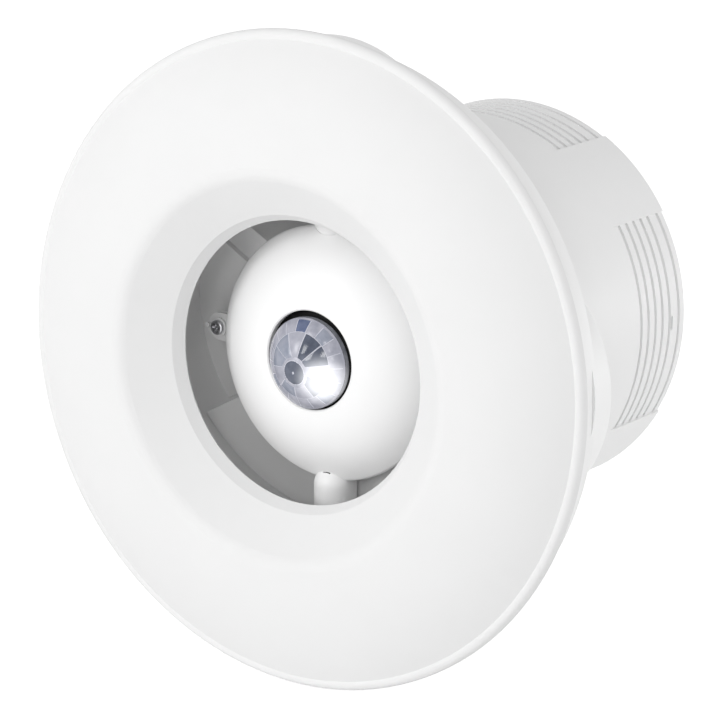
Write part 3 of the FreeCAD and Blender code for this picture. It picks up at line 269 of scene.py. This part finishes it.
def dress_metals():
    even = (1.0, 1.0, 1.0)
    zinc = metal("zinc_plate", (0.62, 0.62, 0.64), 0.32, even)
    give(zinc, "tray_screws", "bridge_screws", "motor_screws", "board_screws", "clamp_screws")
    give(zinc, "impeller_clip")
    ground = metal("ground_steel", (0.68, 0.68, 0.7), 0.18, (1.0, 8.0, 1.0))
    give(ground, "motor_shaft", "bearing_front", "bearing_back", "panel_clips")
    give(metal("cast_rotor", (0.6, 0.6, 0.6), 0.4, (1.0, 6.0, 1.0), bump=0.15), "rotor_core")
    give(metal("brass", (0.72, 0.52, 0.22), 0.28, even), "terminal_screws")
    give(metal("drawn_can", (0.66, 0.66, 0.66), 0.25, (1.0, 0.2, 1.0)), "pir_sensor")
    sheets = banded_metal("stacked_sheets", (0.1, 0.1, 0.11), (0.3, 0.3, 0.32), 160.0, "Y", 0.45)
    give(sheets, "stator_core")
    copper = banded_metal("wound_copper", (0.3, 0.1, 0.03), (0.75, 0.3, 0.1), 260.0, "Z", 0.3)
    give(copper, "stator_windings")


# The lens: a dome of small bulged facets in two rings, with one round facet, the eye, near the middle

# Its sizes, how far it sits below the fan's axis, and the Y of its flange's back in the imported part
lens_low = 0.0005
lens_radius = 0.011
lens_wall = 0.001
lens_side_height = 0.0032
lens_dome_height = 0.0048
lens_flange_radius = 0.0134
lens_flange_thickness = 0.0012
lens_flange_back = -0.009257
lens_flange_front = lens_flange_back - lens_flange_thickness
lens_side_front = lens_flange_front - lens_side_height
lens_apex = lens_side_front - lens_dome_height
lens_sphere = (lens_radius ** 2 + lens_dome_height ** 2) / (2 * lens_dome_height)

# How far behind the dome's rim the painted shadow line (a black band on the straight side) ends and the
# pale skirt ends
painted_shadow_end = 0.0003
skirt_end = 0.0016

# Rings of facets. Their first facet starts at an angle from 12 o'clock, clockwise as the room sees it.
# The border is where the line round a facet starts, with 1 at the facet's edge.
facet_bulge = 0.0002
facet_border = 0.95
outer_ring_end = 0.0106
outer_ring_start = 0.0081
outer_facets = 18
outer_first_clock = -12.0
middle_ring_start = 0.0022
middle_facets = 10
middle_first_clock = 10.0

# The eye, its place in X and Z, and the line round it
eye_centre = (-0.0006, -0.00145)
eye_radius = 0.00295
eye_margin = 0.0037
eye_dot = 0.0003
eye_line = 0.0001

# Steps of the lens's mesh, and how near a point counts as on an edge
near_enough = 0.00005
lens_turns = 288
lens_steps = 80
lens_inner_steps = 24

# A painted glow on the lens: white emission that fades out from a point near the status lamp, which
# itself gives no light, in the lens's own coordinates
painted_glow_centre = (0.0064, -0.0166, -0.0032)
painted_glow_reach = 0.0085
painted_glow_strength = 1.0

# Numbers of the lens's materials, and the facets that aren't milky
# The painted shade number is black standing in for shadow: the thin line below the dome's rim, the side
# below the skirt, the flange and the gap round the lens
milky, medium, clear, line_between, skirt, painted_shade, bluish = range(7)
facet_materials = {
    ("middle", 0): clear,
    ("middle", 1): clear,
    ("middle", 3): clear,
    ("middle", 5): medium,
    ("middle", 7): medium,
    ("middle", 8): medium,
    ("outer", 2): medium,
    ("outer", 7): medium,
    ("outer", 12): medium,
    ("outer", 0): bluish,
}


def lens_materials():
    """The lens's materials in the order of their numbers."""
    return [
        lens_plastic("lens_milky", (0.35, 0.36, 0.43), (0.5, 0.5, 0.57), 0.25, 0.1),
        lens_plastic("lens_medium", (0.27, 0.3, 0.38), (0.38, 0.4, 0.48), 0.2, 0.15),
        lens_plastic("lens_clear", (0.07, 0.085, 0.13), (0.13, 0.15, 0.21), 0.14, 0.25),
        lens_plastic("lens_line", (0.5, 0.51, 0.58), (0.62, 0.62, 0.69), 0.3, 0.1),
        lens_plastic("lens_skirt", (0.22, 0.23, 0.27), (0.4, 0.41, 0.45), 0.3, 0.1),
        # Black painted shade for the shadow line and the dark gap round the lens
        moulded_plastic("lens_painted_shade_black", (0.01, 0.01, 0.01), 0.6, mottle=0.2),
        lens_plastic("lens_bluish", (0.1, 0.13, 0.25), (0.17, 0.21, 0.34), 0.14, 0.2),
    ]


def dome_y(out):
    return lens_apex + lens_sphere - math.sqrt(lens_sphere ** 2 - out ** 2)


def in_ring(x, z, count, first_clock, start, end):
    """Number of a point's facet in a ring, and its place in that facet, -1 to 1 both ways."""
    width = 360.0 / count
    turned = (math.degrees(math.atan2(x, z)) - first_clock) % 360.0
    across = (turned % width) / width * 2 - 1
    along = (math.hypot(x, z) - start) / (end - start) * 2 - 1
    return int(turned / width), along, across


def facet_at(x, z):
    """Ring, number in the ring, and place in the facet of the point at x, z."""
    out = math.hypot(x, z)
    eye = math.hypot(x - eye_centre[0], z - eye_centre[1])
    if eye < eye_margin:
        return "eye", 0, eye / eye_margin, 0.0
    if out > outer_ring_end:
        return "edge", 0, 1.0, 0.0
    if out > outer_ring_start:
        place = in_ring(x, z, outer_facets, outer_first_clock, outer_ring_start, outer_ring_end)
        return "outer", *place
    if out > middle_ring_start:
        place = in_ring(x, z, middle_facets, middle_first_clock, middle_ring_start, outer_ring_start)
        return "middle", *place
    return "centre", 0, out / middle_ring_start, 0.0


def faceted_y(x, z):
    along, across = facet_at(x, z)[2:]
    bulge = (1 - along ** 2) * (1 - across ** 2)
    return dome_y(math.hypot(x, z)) + facet_bulge * (1 - bulge)


def lens_material_at(x, y, z):
    """Number of the material of a small face of the lens, from the face's middle."""
    out = math.hypot(x, z)
    below_rim = y - lens_side_front
    # Painted shade: the flange, the side below the skirt and the thin band just below the rim get black
    # where shadow falls
    if out > lens_radius + near_enough or below_rim > skirt_end:
        return painted_shade
    if out > lens_radius - near_enough and below_rim > near_enough / 2:
        return skirt if below_rim > painted_shadow_end else painted_shade
    ring_name, number, along, across = facet_at(x, z)
    if ring_name == "eye":
        eye = along * eye_margin
        if eye < eye_dot or abs(eye - eye_radius) < eye_line:
            return line_between
        return clear if eye < eye_radius else milky
    if ring_name in ("outer", "middle") and max(abs(along), abs(across)) > facet_border:
        return line_between
    return facet_materials.get((ring_name, number), milky)


def lens_circle(mesh, out, y_at):
    """A circle of points of radius out, each at the y that y_at gives for its x and z."""
    row = []
    for turn in range(lens_turns):
        angle = 2 * math.pi * turn / lens_turns
        x = out * math.sin(angle)
        z = out * math.cos(angle)
        row.append(mesh.verts.new((x, y_at(x, z), z)))
    return row


def lens_rows(mesh):
    """Circles from the dome's middle over its rim and flange, and back up its hollow side."""
    rows = []
    for step in range(1, lens_steps + 1):
        rows.append(lens_circle(mesh, lens_radius * step / lens_steps, faceted_y))
    inner_radius = lens_radius - lens_wall
    profile = [
        (lens_radius, lens_side_front + painted_shadow_end),
        (lens_radius, lens_side_front + skirt_end),
        (lens_radius, lens_flange_front),
        (lens_flange_radius, lens_flange_front),
        (lens_flange_radius, lens_flange_back),
        (inner_radius, lens_flange_back),
    ]
    for out, y in profile:
        rows.append(lens_circle(mesh, out, lambda x, z, y=y: y))
    for step in range(lens_inner_steps, 0, -1):
        out = inner_radius * step / lens_inner_steps
        rows.append(lens_circle(mesh, out, lambda x, z: dome_y(math.hypot(x, z)) + lens_wall))
    return rows


def make_lens():
    mesh = bmesh.new()
    rows = lens_rows(mesh)
    apex = mesh.verts.new((0.0, dome_y(0.0), 0.0))
    inner_apex = mesh.verts.new((0.0, dome_y(0.0) + lens_wall, 0.0))
    for turn in range(lens_turns):
        after = (turn + 1) % lens_turns
        mesh.faces.new((apex, rows[0][turn], rows[0][after]))
        mesh.faces.new((rows[-1][turn], inner_apex, rows[-1][after]))
    for row, next_row in zip(rows[:-1], rows[1:]):
        for turn in range(lens_turns):
            after = (turn + 1) % lens_turns
            mesh.faces.new((row[turn], next_row[turn], next_row[after], row[after]))
    bmesh.ops.recalc_face_normals(mesh, faces=mesh.faces)
    for face in mesh.faces:
        face.smooth = True
        face.material_index = lens_material_at(*face.calc_center_median())
    data = bpy.data.meshes.new("faceted_lens")
    mesh.to_mesh(data)
    mesh.free()
    for material in lens_materials():
        data.materials.append(material)
    lens = bpy.data.objects.new("faceted_lens", data)
    lens.location = (0.0, 0.0, -lens_low)
    bpy.context.collection.objects.link(lens)
    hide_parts("sensor_lens")
    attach(lens, "housing_body")


# Camera, floor, world and lamps

def make_camera():
    data = bpy.data.cameras.new("camera")
    data.lens = camera_lens
    data.sensor_width = camera_sensor
    data.clip_start = camera_nearest
    data.clip_end = camera_farthest
    camera = bpy.data.objects.new("camera", data)
    bpy.context.collection.objects.link(camera)
    turn = Matrix((camera_right, camera_up, camera_back)).transposed()
    camera.matrix_world = Matrix.Translation(camera_place) @ turn.to_4x4()
    bpy.context.scene.camera = camera


def floor_material():
    material, tree, shader = new_material("pale_floor")
    clouds = noise_at(tree, place_on_piece(tree), scale=6.0, detail=2.0)
    vary_colour(tree, shader, clouds, floor_darkest, floor_lightest)
    glow = add(tree, "ShaderNodeMath", {1: floor_glow}, operation="MULTIPLY")
    tree.links.new(background_rays(tree), glow.inputs[0])
    tree.links.new(glow.outputs[0], shader.inputs["Emission Strength"])
    shader.inputs["Emission Color"].default_value = white
    shader.inputs["Roughness"].default_value = floor_roughness
    return material


def make_floor():
    half = floor_size / 2
    z = cad_box[0][2] - floor_below
    corners = [(-half, -half, z), (half, -half, z), (half, half, z), (-half, half, z)]
    data = bpy.data.meshes.new("floor")
    data.from_pydata(corners, [], [(0, 1, 2, 3)])
    data.materials.append(floor_material())
    floor = bpy.data.objects.new("floor", data)
    bpy.context.collection.objects.link(floor)


def make_world():
    """White where the background is seen, and a weaker white light on the object."""
    world = bpy.data.worlds.new("studio")
    bpy.context.scene.world = world
    world.use_nodes = True
    tree = world.node_tree
    light = tree.nodes["Background"]
    light.inputs["Color"].default_value = white
    light.inputs["Strength"].default_value = world_light
    seen = add(tree, "ShaderNodeBackground", {"Color": white, "Strength": world_seen})
    mix = add(tree, "ShaderNodeMixShader")
    tree.links.new(background_rays(tree), mix.inputs[0])
    tree.links.new(light.outputs[0], mix.inputs[1])
    tree.links.new(seen.outputs[0], mix.inputs[2])
    tree.links.new(mix.outputs[0], tree.nodes["World Output"].inputs["Surface"])


def make_lamp(name, place, side, power):
    data = bpy.data.lights.new(name, "AREA")
    data.shape = "SQUARE"
    data.size = side
    data.energy = power
    lamp = bpy.data.objects.new(name, data)
    bpy.context.collection.objects.link(lamp)
    lamp.location = place
    to_origin = -Vector(place)
    lamp.rotation_euler = to_origin.to_track_quat("-Z", "Y").to_euler()


bpy.context.scene.view_settings.view_transform = "Standard"
make_camera()
dress_plastics()
dress_metals()
give(board_material(), "sensor_board", "timer_board")
make_lens()
make_floor()
make_world()
for lamp in lamps:
    make_lamp(*lamp)
